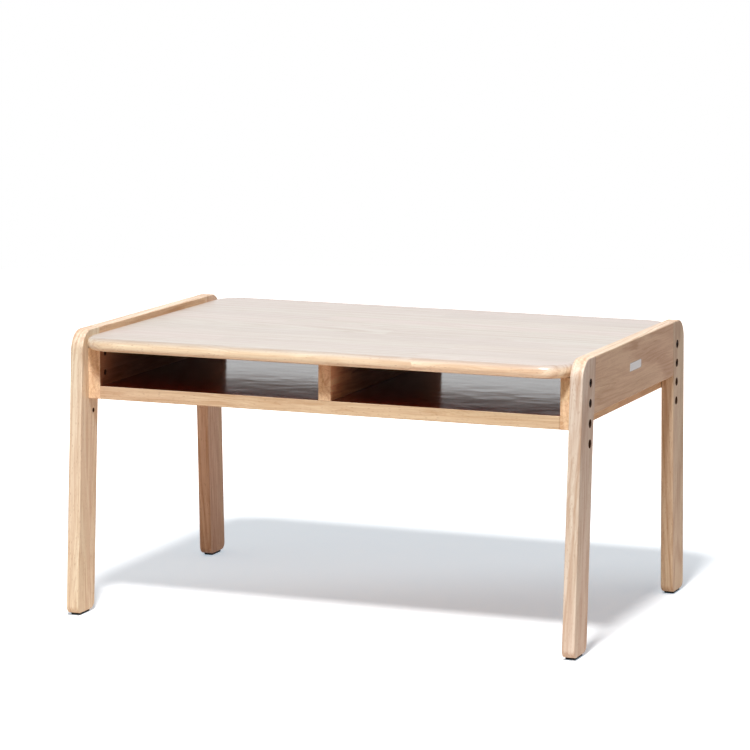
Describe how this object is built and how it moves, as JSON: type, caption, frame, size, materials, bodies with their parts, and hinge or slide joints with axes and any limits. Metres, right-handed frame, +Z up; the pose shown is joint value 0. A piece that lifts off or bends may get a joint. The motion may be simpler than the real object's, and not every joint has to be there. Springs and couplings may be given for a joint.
{
  "type": "kids table",
  "caption": "Low rectangular kids table in pale wood: round-cornered top over an open, divided storage box, bolted between splayed side frames so its height can be set.",
  "frame": {"origin": "on the floor under the middle of the table", "axes": "+X to the right along the table's width, -Y towards the open front that the picture shows, +Z up"},
  "size_m": [0.82, 0.5666, 0.44],
  "materials": {
    "frame_wood": "clear satin lacquer on pale wood",
    "top_wood": "clear satin lacquer on pale wood, glued staves",
    "box_wood": "clear lacquer on pale wood",
    "dowel_wood": "raw beech",
    "black_steel": "black oxide",
    "plated_steel": "yellow zinc plating",
    "black_felt": "pressed black felt",
    "label_plate": "satin, bare"
  },
  "bodies": {
    "table": {"table_top": "top_wood", "box_side_left": "box_wood", "box_side_right": "box_wood", "shelf_board": "box_wood", "divider_board": "box_wood", "leg_left_front": "frame_wood", "leg_left_rear": "frame_wood", "leg_right_front": "frame_wood", "leg_right_rear": "frame_wood", "side_rail_left": "frame_wood", "side_rail_right": "frame_wood", "foot_pad_left_front": "black_felt", "foot_pad_left_rear": "black_felt", "foot_pad_right_front": "black_felt", "foot_pad_right_rear": "black_felt", "label_plate": "label_plate", "threaded_insert_left_front_upper": "plated_steel", "threaded_insert_left_front_lower": "plated_steel", "threaded_insert_left_rear_upper": "plated_steel", "threaded_insert_left_rear_lower": "plated_steel", "threaded_insert_right_front_upper": "plated_steel", "threaded_insert_right_front_lower": "plated_steel", "threaded_insert_right_rear_upper": "plated_steel", "threaded_insert_right_rear_lower": "plated_steel", "rail_dowel_left_front_upper": "dowel_wood", "rail_dowel_left_front_lower": "dowel_wood", "rail_dowel_left_rear_upper": "dowel_wood", "rail_dowel_left_rear_lower": "dowel_wood", "rail_dowel_right_front_upper": "dowel_wood", "rail_dowel_right_front_lower": "dowel_wood", "rail_dowel_right_rear_upper": "dowel_wood", "rail_dowel_right_rear_lower": "dowel_wood", "shelf_dowel_left_front": "dowel_wood", "shelf_dowel_left_middle": "dowel_wood", "shelf_dowel_left_rear": "dowel_wood", "shelf_dowel_right_front": "dowel_wood", "shelf_dowel_right_middle": "dowel_wood", "shelf_dowel_right_rear": "dowel_wood", "top_dowel_left_front": "dowel_wood", "top_dowel_left_middle": "dowel_wood", "top_dowel_left_rear": "dowel_wood", "top_dowel_right_front": "dowel_wood", "top_dowel_right_middle": "dowel_wood", "top_dowel_right_rear": "dowel_wood", "divider_dowel_upper_front": "dowel_wood", "divider_dowel_upper_rear": "dowel_wood", "divider_dowel_lower_front": "dowel_wood", "divider_dowel_lower_rear": "dowel_wood"},
    "bolt_left_front_upper": {"height_bolt_left_front_upper": "black_steel"},
    "bolt_left_front_lower": {"height_bolt_left_front_lower": "black_steel"},
    "bolt_left_rear_upper": {"height_bolt_left_rear_upper": "black_steel"},
    "bolt_left_rear_lower": {"height_bolt_left_rear_lower": "black_steel"},
    "bolt_right_front_upper": {"height_bolt_right_front_upper": "black_steel"},
    "bolt_right_front_lower": {"height_bolt_right_front_lower": "black_steel"},
    "bolt_right_rear_upper": {"height_bolt_right_rear_upper": "black_steel"},
    "bolt_right_rear_lower": {"height_bolt_right_rear_lower": "black_steel"}
  },
  "joints": [
    {"name": "withdraw_left_front_upper", "type": "slide", "parent": "table", "child": "bolt_left_front_upper", "axis": [-1, 0, 0], "range_m": [0, 0.034]},
    {"name": "withdraw_left_front_lower", "type": "slide", "parent": "table", "child": "bolt_left_front_lower", "axis": [-1, 0, 0], "range_m": [0, 0.034]},
    {"name": "withdraw_left_rear_upper", "type": "slide", "parent": "table", "child": "bolt_left_rear_upper", "axis": [-1, 0, 0], "range_m": [0, 0.034]},
    {"name": "withdraw_left_rear_lower", "type": "slide", "parent": "table", "child": "bolt_left_rear_lower", "axis": [-1, 0, 0], "range_m": [0, 0.034]},
    {"name": "withdraw_right_front_upper", "type": "slide", "parent": "table", "child": "bolt_right_front_upper", "axis": [1, 0, 0], "range_m": [0, 0.034]},
    {"name": "withdraw_right_front_lower", "type": "slide", "parent": "table", "child": "bolt_right_front_lower", "axis": [1, 0, 0], "range_m": [0, 0.034]},
    {"name": "withdraw_right_rear_upper", "type": "slide", "parent": "table", "child": "bolt_right_rear_upper", "axis": [1, 0, 0], "range_m": [0, 0.034]},
    {"name": "withdraw_right_rear_lower", "type": "slide", "parent": "table", "child": "bolt_right_rear_lower", "axis": [1, 0, 0], "range_m": [0, 0.034]}
  ]
}
